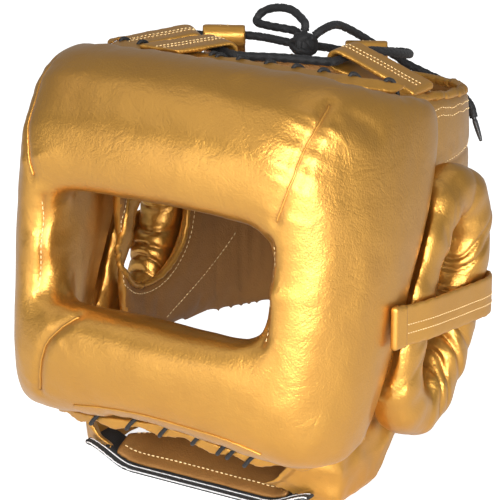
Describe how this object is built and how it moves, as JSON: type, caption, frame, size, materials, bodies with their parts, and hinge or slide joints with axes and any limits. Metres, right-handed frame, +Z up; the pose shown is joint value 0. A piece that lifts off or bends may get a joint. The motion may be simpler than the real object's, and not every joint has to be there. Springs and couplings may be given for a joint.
{
  "type": "sparring head guard with a padded face bar",
  "caption": "Padded leather sparring head guard with a face bar, puffed ear pads, a laced crown with a tied cord, jaw flaps and a chin strap.",
  "frame": {"origin": "on the surface that the guard rests on, under the middle of its box", "axes": "+Z up, -Y to the wearer's front, +X to the wearer's left"},
  "size_m": [0.2476, 0.2768, 0.257],
  "materials": {
    "gold_leather": "smooth metallic gold leather, semi-gloss",
    "black_webbing": "matte black elastic webbing",
    "black_cord": "matte black braided cord",
    "black_plastic": "satin black"
  },
  "bodies": {
    "root": {"bumper": "gold_leather", "liner": "gold_leather", "crown_hem": "gold_leather", "bar_hem": "gold_leather", "ear_pad_left": "gold_leather", "ear_pad_right": "gold_leather", "ear_strap_left": "gold_leather", "ear_strap_right": "gold_leather", "crown_loop_1": "gold_leather", "crown_loop_2": "gold_leather", "crown_loop_3": "gold_leather", "crown_loop_4": "gold_leather", "crown_loop_5": "gold_leather", "jaw_flap_left": "gold_leather", "jaw_flap_right": "gold_leather", "chin_pad": "gold_leather", "rear_closure": "black_webbing", "chin_strap": "black_webbing", "crown_cord": "black_cord", "cord_bow": "black_cord", "cord_tail": "black_cord", "cord_knot": "black_cord", "cord_aglet": "black_plastic"}
  },
  "joints": []
}
